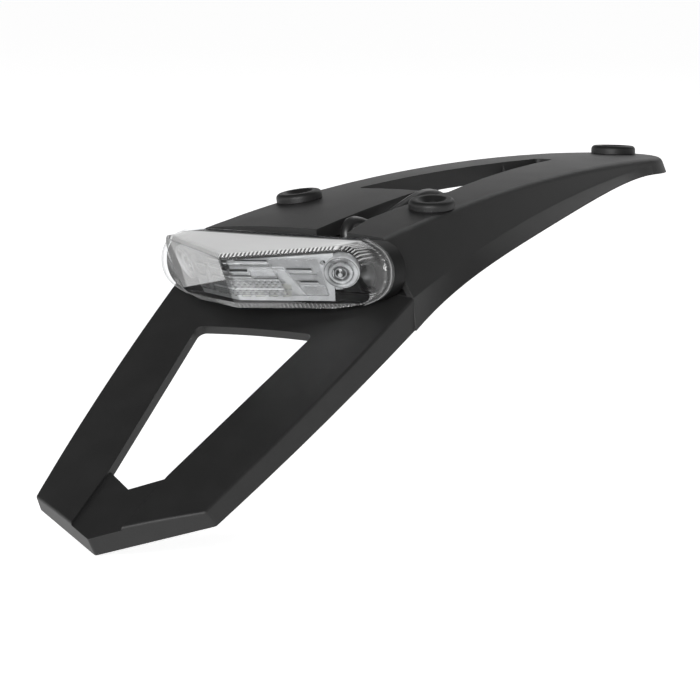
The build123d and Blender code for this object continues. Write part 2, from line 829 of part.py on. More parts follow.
def make_side_led(side):
    """Return the LED at the foot of a side optic."""
    dome = Cylinder(side_led_radius, side_led_height, align=(Align.CENTER, Align.CENTER, Align.MIN))
    return beside_tray(side, fillet(dome.edges().sort_by(Axis.Z)[-1:], side_led_height / 2))


# Lamp screws

def make_screws():
    """Return the two screws that hold the lamp to the rear wall."""
    screws = []
    under_head = wall_inner_y + washer_thickness
    tip_y = wall_back_y - gasket_thickness - screw_reach + 2 * screw_clearance
    for x in (-lamp_screw_x, lamp_screw_x):
        shank = extrude(across_y(tip_y, x, plug_axis_z) * Circle(screw_radius), under_head - tip_y)
        head = extrude(across_y(under_head, x, plug_axis_z) * Circle(screw_head_radius), screw_head_height)
        head = fillet(head.edges().sort_by(Axis.Y)[-1:], screw_head_height / 2)
        head -= extrude(across_y(under_head + screw_head_height / 2, x, plug_axis_z) * RegularPolygon(
            screw_head_radius / 2, 6), screw_head_height)
        screws.append(shank + head)
    return Compound([solid for screw in screws for solid in screw.solids()])


def make_washers():
    """Return the two washers under the screw heads."""
    washers = []
    for x in (-lamp_screw_x, lamp_screw_x):
        ring = Circle(washer_radius) - Circle(screw_radius + screw_clearance)
        washers.append(extrude(across_y(wall_inner_y, x, plug_axis_z) * ring, washer_thickness))
    return Compound([solid for washer in washers for solid in washer.solids()])


# Lead

gland_front_y = wall_inner_y + gland_flange
lead_route = [
    (gland_x, gland_front_y, gland_z), (14.0, -183.2, gland_z), (14.0, -179.6, -21.9), (14.0, -179.6, -16.6),
    (13.8, -175.6, -12.8), (13.2, -167.0, -13.8), (12.8, -156.0, -12.6), (12.4, -145.0, -9.0),
    (12.2, -136.0, -6.4), (12.0, -128.6, -6.3), (11.4, -121.0, -8.8), (8.4, -112.8, -12.2),
    (0.8, -106.2, -15.6), (-9.0, -105.0, -17.8), (-17.2, -109.4, -18.6),
    (-coil_radius, coil_y + stub_length + 10.0, coil_z + lead_diameter / 2),
    (-coil_radius, coil_y + stub_length, coil_z + lead_diameter / 2)]
coil_width = lead_diameter + 2 * lead_clearance
coil_height = coil_layers * lead_diameter + 2 * lead_clearance


def bend_radii(route):
    """Return the largest bend at each inner point of a route that its two runs leave room for."""
    points = [Vector(*point) for point in route]
    radii = []
    for before, here, after in zip(points, points[1:], points[2:]):
        turn = radians((here - before).get_angle(after - here))
        shorter = min((here - before).length, (after - here).length)
        radii.append(0.45 * shorter / tan(turn / 2))
    return radii


def make_gland():
    """Return the rubber gland that takes the lead through the rear wall."""
    length = gland_front_y - lamp_floor_y
    gland = extrude(across_y(lamp_floor_y, gland_x, gland_z) * Circle(gland_radius), length)
    gland += extrude(across_y(wall_inner_y, gland_x, gland_z) * Circle(gland_flange_radius), gland_flange)
    return gland


def make_lead():
    """Return the lead from the gland, up through the slot and down to the coil."""
    radii = bend_radii(lead_route)
    path = FilletPolyline(*lead_route, radius=radii)
    section = Plane(origin=path @ 0, z_dir=path % 0) * Circle(lead_diameter / 2)
    tube = sweep(section, path)
    print("lead bends", [round(radius, 1) for radius in radii])
    print("lead length", round(path.length, 1), "volume ratio",
          round(tube.volume / (path.length * pi * lead_diameter ** 2 / 4), 3))
    return tube


def make_coil():
    """Return the outer shape of the tied coil, with its straight ends."""
    rounding = 0.4 * lead_diameter
    section = Plane.XZ * (Pos(coil_radius, 0) * RectangleRounded(coil_width, coil_height, rounding))
    coil = Pos(0, coil_y, coil_z) * revolve(section, Axis.Z)
    start = across_y(coil_y, -coil_radius, coil_z + lead_diameter / 2)
    coil += extrude(start * Circle(lead_diameter / 2), stub_length)
    end = Plane(origin=(0, coil_y - coil_radius, coil_z - lead_diameter / 2), z_dir=(1, 0, 0))
    return coil + extrude(end * Circle(lead_diameter / 2), tail_length)


def make_tie():
    """Return the cable tie around the coil."""
    wide = coil_width + 2 * lead_clearance
    high = coil_height + 2 * lead_clearance
    ring = Rectangle(wide + 2 * tie_thickness, high + 2 * tie_thickness) - Rectangle(wide, high)
    place = Plane(origin=(0, coil_y + coil_radius, coil_z), x_dir=(0, 1, 0), z_dir=(1, 0, 0))
    return extrude(place * ring, tie_width / 2, both=True)


def make_connector():
    """Return the connector on the lead's end."""
    place = Pos(tail_length + connector_length / 2, coil_y - coil_radius, coil_z - lead_diameter / 2)
    body = Box(connector_length, connector_width, connector_height)
    body = fillet(body.edges().filter_by(Axis.X), connector_latch / 2)
    latch = Pos(-connector_length / 6, 0, (connector_height + connector_latch) / 2) * Box(
        connector_length / 2, connector_width / 3, connector_latch)
    recess = Pos(connector_length / 2, 0, 0) * Box(
        2 * connector_recess, connector_width - 2 * connector_latch, connector_height - 2 * connector_latch)
    return place * (body + latch - recess)


def write_parts():
    """Write one STEP file for each piece."""
    os.makedirs("parts", exist_ok=True)
    parts = {"tail_moulding": make_moulding()}
    names = ("front_grommet", "rear_left_grommet", "rear_right_grommet")
    for name, place in zip(names, grommet_places()):
        parts[name] = place * make_grommet()
    parts["lamp_lens"] = make_lens()
    parts["lamp_housing"] = make_housing()
    parts["lamp_gasket"] = make_gasket()
    parts["tray_reflector"] = make_tray()
    parts["left_led_board"], parts["right_led_board"] = make_boards()
    for side, word in ((-1, "left"), (1, "right")):
        parts[f"{word}_leds"] = make_leds(side)
        parts[f"{word}_side_optic"] = make_optic(side)
        parts[f"{word}_side_led"] = make_side_led(side)
    parts["lamp_screws"] = make_screws()
    parts["lamp_washers"] = make_washers()
    parts["cable_gland"] = make_gland()
    parts["lead"] = make_lead()
    parts["lead_coil"] = make_coil()
    parts["coil_tie"] = make_tie()
    parts["lead_connector"] = make_connector()
    for name, part in parts.items():
        export_step(part, f"parts/{name}.step")


write_parts()
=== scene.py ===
"""Looks of a motorbike tail tidy: moulded tail, rubber grommets, clear LED lamp and its lead.

Everything is in the frame of the solids: the origin is on the front fixing at the deck's top face, +X right,
+Y to the front of the bike, +Z up. Sizes of the lens, the side optics and the light guides are in
millimetres, and all others in metres.
"""

import logging
import math
from dataclasses import dataclass, field
from enum import Enum
from typing import Any, Sequence, Union

import bmesh
import bpy
import numpy as np
from mathutils import Matrix, Vector


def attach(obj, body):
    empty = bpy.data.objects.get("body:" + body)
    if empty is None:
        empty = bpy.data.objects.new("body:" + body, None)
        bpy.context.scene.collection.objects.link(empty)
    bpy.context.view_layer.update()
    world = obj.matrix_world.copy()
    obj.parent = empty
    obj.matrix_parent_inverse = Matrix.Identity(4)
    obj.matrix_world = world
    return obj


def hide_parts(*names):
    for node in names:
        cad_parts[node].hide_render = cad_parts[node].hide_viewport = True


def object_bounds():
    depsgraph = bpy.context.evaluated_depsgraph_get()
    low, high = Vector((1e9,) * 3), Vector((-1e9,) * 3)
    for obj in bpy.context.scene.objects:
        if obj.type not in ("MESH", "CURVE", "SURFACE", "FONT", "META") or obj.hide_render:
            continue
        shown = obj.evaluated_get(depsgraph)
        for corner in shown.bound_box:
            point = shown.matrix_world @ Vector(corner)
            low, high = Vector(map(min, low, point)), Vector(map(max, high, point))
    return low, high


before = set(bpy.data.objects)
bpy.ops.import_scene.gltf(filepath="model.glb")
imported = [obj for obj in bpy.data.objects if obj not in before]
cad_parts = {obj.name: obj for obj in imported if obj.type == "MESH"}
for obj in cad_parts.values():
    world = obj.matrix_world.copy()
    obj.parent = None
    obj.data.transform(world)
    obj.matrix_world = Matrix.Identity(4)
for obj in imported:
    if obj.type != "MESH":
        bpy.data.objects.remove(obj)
CAD_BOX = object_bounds()

LOG = logging.getLogger("tail_tidy")
MM = 0.001
TINY = 1e-9
EDGE_SAMPLES = 6
BODY = "root"

Colour = tuple[float, float, float, float]
Point = tuple[float, float, float]
Number = Union[int, float]


class Side(Enum):
    """The two sides of the bike, as the sign of X."""

    LEFT = -1
    RIGHT = 1


class Value:
    """A shader value: an output socket whose operators add Math nodes to its tree."""

    def __init__(self, tree: "ShaderTree", socket: bpy.types.NodeSocket) -> None:
        """Keep the tree and the output socket."""
        self.tree = tree
        self.socket = socket

    def math(self, operation: str, *values: Any) -> "Value":
        """Return a Math node of one operation on the values, in order."""
        return self.tree.node("ShaderNodeMath", {"operation": operation}, dict(enumerate(values)))

    def __add__(self, other: Any) -> "Value":
        """Return this value plus another."""
        return self.math("ADD", self, other)

    __radd__ = __add__

    def __sub__(self, other: Any) -> "Value":
        """Return this value minus another."""
        return self.math("SUBTRACT", self, other)

    def __rsub__(self, other: Any) -> "Value":
        """Return another value minus this one."""
        return self.math("SUBTRACT", other, self)

    def __mul__(self, other: Any) -> "Value":
        """Return this value times another."""
        return self.math("MULTIPLY", self, other)

    __rmul__ = __mul__

    def __pow__(self, other: Any) -> "Value":
        """Return this value raised to a power."""
        return self.math("POWER", self, other)

    def at_most(self, other: Any) -> "Value":
        """Return the smaller of two values."""
        return self.math("MINIMUM", self, other)

    def at_least(self, other: Any) -> "Value":
        """Return the larger of two values."""
        return self.math("MAXIMUM", self, other)

    def ramp(self, start: Number, end: Number, low: Number = 0.0, high: Number = 1.0) -> "Value":
        """Return a smooth step of this value.

        Args:
            start: value at which the step begins.
            end: value at which the step ends.
            low: result before the step.
            high: result after the step.

        Returns:
            The stepped value, kept between low and high.
        """
        settings = {"interpolation_type": "SMOOTHSTEP"}
        return self.tree.node("ShaderNodeMapRange", settings, {0: self, 1: start, 2: end, 3: low, 4: high})


class ShaderTree:
    """The node tree of one material or world, and the one way that nodes get into it."""

    def __init__(self, owner: Union[bpy.types.Material, bpy.types.World]) -> None:
        """Clear the owner's tree and keep it.

        Args:
            owner: the material or world.
        """
        owner.use_nodes = True
        self.tree = owner.node_tree
        self.tree.nodes.clear()

    def node(self, kind: str, settings: dict[str, Any], inputs: dict[Any, Any], out: Any = 0) -> Value:
        """Add one node.

        Args:
            kind: the node's type.
            settings: its properties, which are set first.
            inputs: socket names or numbers with their values or links.
            out: name or number of the output that is wanted.

        Returns:
            The wanted output as a value.
        """
        made = self.tree.nodes.new(kind)
        for name, setting in settings.items():
            setattr(made, name, setting)
        for key, given in inputs.items():
            if isinstance(given, Value):
                self.tree.links.new(given.socket, made.inputs[key])
            else:
                made.inputs[key].default_value = given
        return Value(self, made.outputs[out])

    def place(self) -> Value:
        """Return the piece's own coordinates, in metres."""
        return self.node("ShaderNodeTexCoord", {}, {}, "Object")

    def noise(self, size: float, detail: float = 2.0, rough: float = 0.5) -> Value:
        """Return a noise value whose spots are about size metres across."""
        inputs = {"Vector": self.place(), "Scale": 1.0 / size, "Detail": detail, "Roughness": rough}
        return self.node("ShaderNodeTexNoise", {}, inputs, "Fac")

    def mix(self, factor: Any, first: Any, second: Any) -> Value:
        """Return a colour between two colours."""
        return self.node("ShaderNodeMix", {"data_type": "RGBA"}, {0: factor, 6: first, 7: second}, 2)

    def attribute(self, name: str) -> Value:
        """Return a number that the mesh carries at its points."""
        return self.node("ShaderNodeAttribute", {"attribute_name": name}, {}, "Fac")

    def ray(self, kind: str) -> Value:
        """Return 1 for rays of a kind, such as Is Camera Ray, and 0 for others."""
        return self.node("ShaderNodeLightPath", {}, {}, kind)

    def bump(self, height: Any, depth: float, edge: float = 0.0) -> Value:
        """Return a normal that is tilted by a height.

        Args:
            height: the height, from 0 to 1.
            depth: metres for a height of one.
            edge: radius in metres by which edges look rounded.

        Returns:
            The tilted normal.
        """
        inputs = {"Height": height, "Distance": depth}
        if edge:
            inputs["Normal"] = self.node("ShaderNodeBevel", {"samples": EDGE_SAMPLES}, {"Radius": edge})
        return self.node("ShaderNodeBump", {}, inputs)

    def principled(self, **inputs: Any) -> Value:
        """Return a Principled shader; underscores in the names stand for spaces."""
        named = {name.replace("_", " "): given for name, given in inputs.items()}
        return self.node("ShaderNodeBsdfPrincipled", {}, named)

    def mix_shader(self, factor: Any, first: Value, second: Value) -> Value:
        """Return a mix of two shaders."""
        return self.node("ShaderNodeMixShader", {}, {0: factor, 1: first, 2: second})

    def surface(self, shader: Value, kind: str = "ShaderNodeOutputMaterial") -> None:
        """Send a shader to the tree's output."""
        made = self.tree.nodes.new(kind)
        self.tree.links.new(shader.socket, made.inputs["Surface"])


def grey(level: float) -> Colour:
    """Return an opaque grey."""
    return (level, level, level, 1.0)


@dataclass(frozen=True)
class Finish:
    """A named finish, whose shader becomes a material."""

    name: str

    def shader(self, tree: ShaderTree) -> Value:
        """Return the finish's shader, which each kind of finish makes in its own way."""
        raise NotImplementedError

    def material(self) -> bpy.types.Material:
        """Make the material.

        Returns:
            A new material that has the finish's shader as its surface.
        """
        made = bpy.data.materials.new(self.name)
        tree = ShaderTree(made)
        tree.surface(self.shader(tree))
        return made


@dataclass(frozen=True)
class Grained(Finish):
    """Black moulding or rubber with a fine moulded grain.

    The grain is a fine noise that tilts the normal; a wider noise makes the sheen and the tone uneven.
    """

    colour: Colour
    pale: Colour
    roughness: float
    unevenness: float
    grain: float
    depth: float
    edge: float
    specular: float = 0.4
    cloud: float = 0.012
    cloud_share: float = 1.4
    grain_share: float = 0.25

    def shader(self, tree: ShaderTree) -> Value:
        """Return the shader of grained plastic.

        Args:
            tree: the tree that gets the nodes.

        Returns:
            A Principled shader whose tone, sheen and normal follow the two noises.
        """
        fine = tree.noise(self.grain, rough=0.6)
        wide = tree.noise(self.cloud, detail=3.0)
        dust = (wide - 0.5) * self.cloud_share + fine * self.grain_share
        return tree.principled(
            Base_Color=tree.mix(dust.at_least(0.0).at_most(1.0), self.colour, self.pale),
            Roughness=wide * self.unevenness + (self.roughness - self.unevenness / 2),
            Specular_IOR_Level=self.specular,
            Normal=tree.bump(fine, self.depth, self.edge))


@dataclass(frozen=True)
class Bright(Finish):
    """Bright metallised plastic of the reflector tray: clouded, with small hammered dimples that glint."""

    colour: Colour
    shade: Colour
    roughness: float
    metallic: float
    cloud: float = 0.004
    cloud_band: tuple[float, float] = (0.35, 0.65)
    unevenness: float = 0.12
    dimple: float = 0.0012
    depth: float = 0.0001

    def shader(self, tree: ShaderTree) -> Value:
        """Return the shader of the bright tray.

        Args:
            tree: the tree that gets the nodes.

        Returns:
            A Principled shader with a clouded tone and a dimpled normal.
        """
        cloud = tree.noise(self.cloud)
        inputs = {"Vector": tree.place(), "Scale": 1.0 / self.dimple}
        dimples = tree.node("ShaderNodeTexVoronoi", {"feature": "SMOOTH_F1"}, inputs, "Distance")
        return tree.principled(
            Base_Color=tree.mix(cloud.ramp(*self.cloud_band), self.colour, self.shade),
            Roughness=cloud * self.unevenness + (self.roughness - self.unevenness / 2),
            Metallic=self.metallic,
            Normal=tree.bump(dimples + cloud, self.depth))


@dataclass(frozen=True)
class Plain(Finish):
    """A smooth finish with a faint mottle: boards, LED packages, zinc, nylon, the lead's sheath."""

    colour: Colour
    roughness: float
    metallic: float = 0.0
    mottle: float = 0.12
    spot: float = 0.003
    specular: float = 0.5
    unevenness: float = 0.1
    depth: float = 0.00005

    def shader(self, tree: ShaderTree) -> Value:
        """Return the shader of a smooth, faintly mottled surface.

        Args:
            tree: the tree that gets the nodes.

        Returns:
            A Principled shader whose tone, sheen and normal follow one noise.
        """
        cloud = tree.noise(self.spot, detail=3.0)
        dark = tuple(c * (1.0 - self.mottle) for c in self.colour[:3]) + (1.0,)
        return tree.principled(
            Base_Color=tree.mix(cloud, dark, self.colour),
            Roughness=cloud * self.unevenness + (self.roughness - self.unevenness / 2),
            Metallic=self.metallic,
            Specular_IOR_Level=self.specular,
            Normal=tree.bump(cloud, self.depth))


@dataclass(frozen=True)
class Clear(Finish):
    """Clear plastic: see-through head on, mirror-like along the outer skin, opaque where the mesh says so.

    Where opaque it is white with haziness and painted highlight, and dark with painted shade.
    """

    tint: Colour
    # Pale colour: white haziness and painted highlight; dark colour: painted shade.
    haze_and_highlight_colour: Colour
    painted_shade_colour: Colour
    gloss: float
    roughness: float
    index: float = 1.5
    mirror_colour: Colour = grey(0.95)
    haze_roughness: float = 0.3

    def shader(self, tree: ShaderTree) -> Value:
        """Return the shader of clear plastic.

        Args:
            tree: the tree that gets the nodes.

        Returns:
            A mix of a see-through, a mirror and an opaque shader. The mirror's share is the Fresnel value
            times the mesh's skin number, and the opaque share is the mesh's number of white haziness and
            painted highlight. The opaque shader turns dark, as painted shade, by the mesh's number of painted
            shade.
        """
        angle = tree.node("ShaderNodeFresnel", {}, {"IOR": self.index})
        shine = (angle * tree.attribute("skin") * self.gloss).at_most(1.0)
        through = tree.node("ShaderNodeBsdfTransparent", {}, {"Color": self.tint})
        mirror = tree.principled(Base_Color=self.mirror_colour, Metallic=1.0, Roughness=self.roughness)
        # Opaque shader that paints highlight in the pale colour and shade in the dark colour.
        hazy_and_painted = tree.principled(
            Base_Color=tree.mix(tree.attribute("painted_shade"), self.haze_and_highlight_colour, self.painted_shade_colour),
            Roughness=self.haze_roughness)
        return tree.mix_shader(tree.attribute("haze_and_highlight"), tree.mix_shader(shine, through, mirror), hazy_and_painted)


@dataclass(frozen=True)
class Bowl(Finish):
    """A side optic's bowl: grey metal inside, black outside, told apart by the distance from its axis."""

    inner: Colour
    outer: Colour
    axis: tuple[float, float]
    radius: float
    roughness: float
    outer_roughness: float = 0.75
    metallic: float = 0.8
    edge: float = 0.01

    def shader(self, tree: ShaderTree) -> Value:
        """Return the shader of the bowl.

        Args:
            tree: the tree that gets the nodes.

        Returns:
            A Principled shader that changes at the bowl's radius from its axis, which runs along X.
        """
        place = tree.place()
        across = tree.node("ShaderNodeSeparateXYZ", {}, {0: place}, "Y") - self.axis[0]
        up = tree.node("ShaderNodeSeparateXYZ", {}, {0: place}, "Z") - self.axis[1]
        away = (across ** 2.0 + up ** 2.0) ** 0.5
        outside = away.ramp(self.radius * (1 - self.edge), self.radius * (1 + self.edge))
        return tree.principled(
            Base_Color=tree.mix(outside, self.inner, self.outer),
            Roughness=outside * (self.outer_roughness - self.roughness) + self.roughness,
            Metallic=self.metallic - outside * self.metallic)


@dataclass(frozen=True)
class Jewel(Finish):
    """Glassy optic: painted highlight and shade in rings, as the mesh says, under a mirror-smooth coat."""

    # Pale colour: painted highlight; dark colour: painted shade.
    colour: Colour
    shade: Colour
    roughness: float
    cloud: float = 0.0015
    cloud_share: float = 0.5
    unevenness: float = 0.1
    depth: float = 0.0002

    def shader(self, tree: ShaderTree) -> Value:
        """Return the shader of the glassy optic.

        Args:
            tree: the tree that gets the nodes.

        Returns:
            A coated Principled shader whose tone is the mesh's dark number, which paints highlight and
            shade, clouded by a noise.
        """
        cloud = tree.noise(self.cloud)
        # The mesh's dark number paints highlight and shade onto the optic.
        dark = (tree.attribute("dark") + (cloud - 0.5) * self.cloud_share).at_least(0.0).at_most(1.0)
        return tree.principled(
            Base_Color=tree.mix(dark, self.colour, self.shade),
            Roughness=cloud * self.unevenness + self.roughness,
            Coat_Weight=1.0,
            Normal=tree.bump(cloud, self.depth))


def new_object(name: str, data: Union[bpy.types.Mesh, bpy.types.Curve],
               finish: Finish) -> bpy.types.Object:
    """Put a mesh or a curve into the scene as a piece of the object.

    Args:
        name: the piece's name.
        data: its mesh or curve, in metres and in place.
        finish: its finish.

    Returns:
        The new object, riding on the body.
    """
    piece = bpy.data.objects.new(name, data)
    bpy.context.collection.objects.link(piece)
    data.materials.clear()
    data.materials.append(finish.material())
    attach(piece, BODY)
    return piece


def grid_mesh(name: str, points: np.ndarray, numbers: dict[str, np.ndarray],
              weld: float = 0.005) -> bpy.types.Mesh:
    """Return a mesh over a grid of points that is closed round its columns.

    Each face joins a point to its neighbours in the next row and the next column. Points that fall together,
    such as those on a pole or a spine, are welded.

    Args:
        name: the mesh's name.
        points: rows by columns by three, in millimetres.
        numbers: numbers for each point, by attribute name.
        weld: how near points are welded, in millimetres.

    Returns:
        The mesh, smooth shaded, with faces that point outwards.
    """
    rows, columns = points.shape[:2]
    index = np.arange(rows * columns).reshape(rows, columns)
    beside = np.roll(index, -1, axis=1)
    faces = np.stack([index[:-1], beside[:-1], beside[1:], index[1:]], axis=-1).reshape(-1, 4)
    mesh = bpy.data.meshes.new(name)
    mesh.from_pydata(points.reshape(-1, 3) * MM, [], faces.tolist())
    for key, given in numbers.items():
        layer = mesh.attributes.new(key, "FLOAT", "POINT")
        layer.data.foreach_set("value", given.reshape(-1).astype(np.float32))
    clean = bmesh.new()
    clean.from_mesh(mesh)
    bmesh.ops.remove_doubles(clean, verts=clean.verts, dist=weld * MM)
    bmesh.ops.recalc_face_normals(clean, faces=clean.faces)
    clean.to_mesh(mesh)
    clean.free()
    mesh.shade_smooth()
    return mesh


@dataclass(frozen=True)
class Ramp:
    """A straight climb from 0 at its start to 1."""

    start: float
    slope: float

    def share(self, at: np.ndarray) -> np.ndarray:
        """Return the distance past the start times the slope, kept between 0 and 1."""
        return np.clip((at - self.start) * self.slope, 0, 1)


@dataclass(frozen=True)
class Zone:
    """A stretch that is 1 in its middle and 0 outside, with a straight ramp at each end."""

    start: float
    stop: float
    up: float
    down: float

    def share(self, at: np.ndarray) -> np.ndarray:
        """Return the climb from the start times the climb back from the stop."""
        return Ramp(self.start, self.up).share(at) * Ramp(-self.stop, self.down).share(-at)


@dataclass(frozen=True)
class LensTones:
    """How white, how dark and how mirror-like the lens is in each of its zones. The white is frosting on the
    roof and painted highlight along the ridges, the ticks and the flange's edge; the dark is painted shade.

    The two numbers of the lower ticks are the whiteness in a flute's hollow and what a ridge adds to it,
    those of a ridge are its level and what a hollow takes from it, and those of the ticks' painted shade are
    what a hollow adds and the level that it has to pass.
    """

    roof: float = 0.85
    fan: float = 0.42
    dots: float = 0.3
    ticks: float = 0.75
    low_ticks: tuple[float, float] = (0.1, 0.16)
    ridge: tuple[float, float] = (1.2, 2.6)
    # Painted highlight along the flange's edge.
    edge: float = 0.45
    cheek: float = 0.1
    # Painted shade in the ticks' hollows, on the cheeks and along the flange's edge.
    tick_painted_shade: tuple[float, float] = (2.2, 0.6)
    cheek_painted_shade: float = 0.6
    edge_painted_shade: float = 0.35
    flange_gloss: float = 0.12
    end_gloss: float = 0.5


@dataclass
class Lens:
    """The clear lamp lens: two facets that meet in a keel, a fluted chamfer, a sloping roof and a flange.

    Key loops count from 0 at the spine to 5 at the flange's back edge, and the zones and the cheek's ramp lie
    between them. The other ramps go by the height share or by the distance past the straight run.
    """

    rim_y: float = -202.0
    flange: float = 1.5
    flange_half: tuple[float, float] = (49.0, 11.4)
    base_half: tuple[float, float] = (47.2, 10.6)
    axis_z: float = -26.7
    keel: tuple[float, float] = (-235.3, -21.6)
    keel_lean: float = -0.568
    facet_rise: float = 0.59
    edge_top: tuple[float, float] = (-21.6, 0.0891)
    edge_bottom: float = -37.2
    spine_z: float = -28.8
    straight: float = 34.5
    end_round: float = 6.2
    squareness: float = 3.6
    chamfer: tuple[float, float] = (1.4, 2.0)
    chamfer_back: float = 0.9
    chamfer_fade: float = 6.0
    wall: float = 1.2
    pitch: float = 1.2
    end_grooves: int = 19
    groove_depth: float = 0.28
    fan_depth: float = 0.4
    steps_per_groove: int = 8
    span_rows: tuple[int, ...] = (8, 6, 12, 2, 3)
    lined_spans: int = 3
    rope: Zone = Zone(1.0, 2.05, 6, 6)
    fan: Zone = Zone(1.0, 2.75, 6, 3)
    roof: Zone = Zone(1.85, 3.0, 5, 20)
    dots: Zone = Zone(2.8, 3.02, 20, 20)
    edge: Zone = Zone(3.75, 4.25, 4, 4)
    cheek: Ramp = Ramp(1.9, 5)
    flange_from: float = 2.95
    upper_half: Ramp = Ramp(0.0, 4)
    roof_side: Ramp = Ramp(0.2, 2)
    fan_corner: Ramp = Ramp(0.4, 4)
    roof_fade: float = 12.0
    edge_ends: Ramp = Ramp(0.0, 1 / 3)
    cheek_ends: Ramp = Ramp(1.5, 1 / 3)
    tones: LensTones = LensTones()
    # The lens's pale colour is haziness and painted highlight, and its dark colour is painted shade.
    finish: Clear = Clear(
        "clear_lens", tint=(0.98, 0.985, 0.99, 1.0), haze_and_highlight_colour=grey(0.96), painted_shade_colour=grey(0.1),
        gloss=1.7, roughness=0.05)

    def bow_y(self, x: np.ndarray, z: np.ndarray) -> np.ndarray:
        """Return y on the facets: the keel's leaning line plus the rise with distance from the middle."""
        return self.keel[0] + self.keel_lean * (z - self.keel[1]) + self.facet_rise * np.abs(x)

    def axes(self) -> tuple[np.ndarray, np.ndarray, np.ndarray]:
        """Work out the right facet's own directions.

        Returns:
            The directions along the facet from the keel, down the keel, and inward from the facet.
        """
        along = np.array([1.0, self.facet_rise, 0.0]) / math.hypot(1.0, self.facet_rise)
        down = np.array([0.0, -self.keel_lean, -1.0]) / math.hypot(1.0, self.keel_lean)
        inward = np.array([-self.facet_rise, 1.0, -self.keel_lean])
        return along, down, inward / np.linalg.norm(inward)

    def turn(self) -> tuple[np.ndarray, np.ndarray, np.ndarray]:
        """Go round the outline: a straight run, a squared half round, a run back and a second half round.

        Returns:
            For each column, its X, its height share, which goes from 1 along the top to -1 along the bottom,
            and its groove phase, which counts grooves.
        """
        count = round(2 * self.straight / self.pitch) * self.steps_per_groove
        run = (np.arange(count) + 0.5) / count * 2 - 1
        bend_count = self.end_grooves * self.steps_per_groove
        bend = (np.arange(bend_count) + 0.5) / bend_count * np.pi
        power = 2 / self.squareness
        across = np.sign(np.cos(bend)) * np.abs(np.cos(bend)) ** power
        along = np.sin(bend) ** power
        straight_x = run * self.straight
        end_x = self.straight + self.end_round * along
        x = np.concatenate([straight_x, end_x, -straight_x, -end_x])
        height = np.concatenate([np.ones(count), across, -np.ones(count), -across])
        phase = (np.arange(len(x)) + 0.5) / self.steps_per_groove
        return x, height, phase

    def loops(self) -> np.ndarray:
        """Work out the key loops of the outer skin, from the spine to the flange's back edge.

        Each loop is a closed line with the same columns. The first two lie on the facets, the third is the
        chamfer's outer edge, the fourth the base on the flange, and the last two the flange's edge.

        Returns:
            Key loops by columns by three.
        """
        x, height, _ = self.turn()
        top = self.edge_top[0] + self.edge_top[1] * np.abs(x)
        reach = np.where(height > 0, top - self.spine_z, self.spine_z - self.edge_bottom)
        edge_z = self.spine_z + reach * height
        spine_x = np.clip(x, -self.straight, self.straight)
        spine_z = np.full_like(x, self.spine_z)
        end = np.clip((np.abs(x) - self.straight) / self.end_round, 0, 1)
        out_x = np.sign(x) * end
        size = np.hypot(out_x, height)
        out_x, out_z = out_x / size, height / size
        flat_y = self.rim_y - self.flange
        angle = np.arctan2(height, np.abs(out_x) + TINY)

        def outline(half: tuple[float, float], y: float) -> np.ndarray:
            """Return a round-ended outline: straight runs and half circles.

            Args:
                half: half of its width and of its height.
                y: its place along Y.

            Returns:
                The outline, with the loop's columns.
            """
            run_x = spine_x / self.straight * (half[0] - half[1])
            arc_x = np.sign(x) * half[1] * np.cos(angle) * end
            return np.stack([run_x + arc_x, np.full_like(x, y), self.axis_z + half[1] * np.sin(angle)], -1)

        edge_y = self.bow_y(x, edge_z)
        slack = np.clip((flat_y - edge_y) / self.chamfer_fade, 0, 1)
        brow = np.where(height > 0, *self.chamfer) * slack
        return np.array([
            np.stack([spine_x, self.bow_y(spine_x, spine_z), spine_z], -1),
            np.stack([x, edge_y, edge_z], -1),
            np.stack([x + out_x * brow, edge_y + brow * self.chamfer_back, edge_z + out_z * brow], -1),
            outline(self.base_half, flat_y),
            outline(self.flange_half, flat_y),
            outline(self.flange_half, self.rim_y)])

    @staticmethod
    def between(loops: np.ndarray, counts: Sequence[int],
                corner: float = 0.1) -> tuple[np.ndarray, np.ndarray]:
        """Return rows between key loops, with a narrow row each side of every key loop.

        A row is a straight blend of the two key loops beside it. The rows at the ends of a span stay a little
        away from its key loops, so that smooth shading gives each edge a small round.

        Args:
            loops: key loops by columns by three.
            counts: rows in each span.
            corner: share of a row's step that is left free at a span's ends.

        Returns:
            The rows, and the place of each row counted in key loops.
        """
        places = [np.array([0.0])]
        for span, count in enumerate(counts):
            places.append(span + np.linspace(corner / count, 1 - corner / count, count + 1))
        places.append(np.array([float(len(counts))]))
        at = np.concatenate(places)
        low = np.minimum(at.astype(int), len(loops) - 2)
        share = (at - low)[:, None, None]
        return loops[low] * (1 - share) + loops[low + 1] * share, at

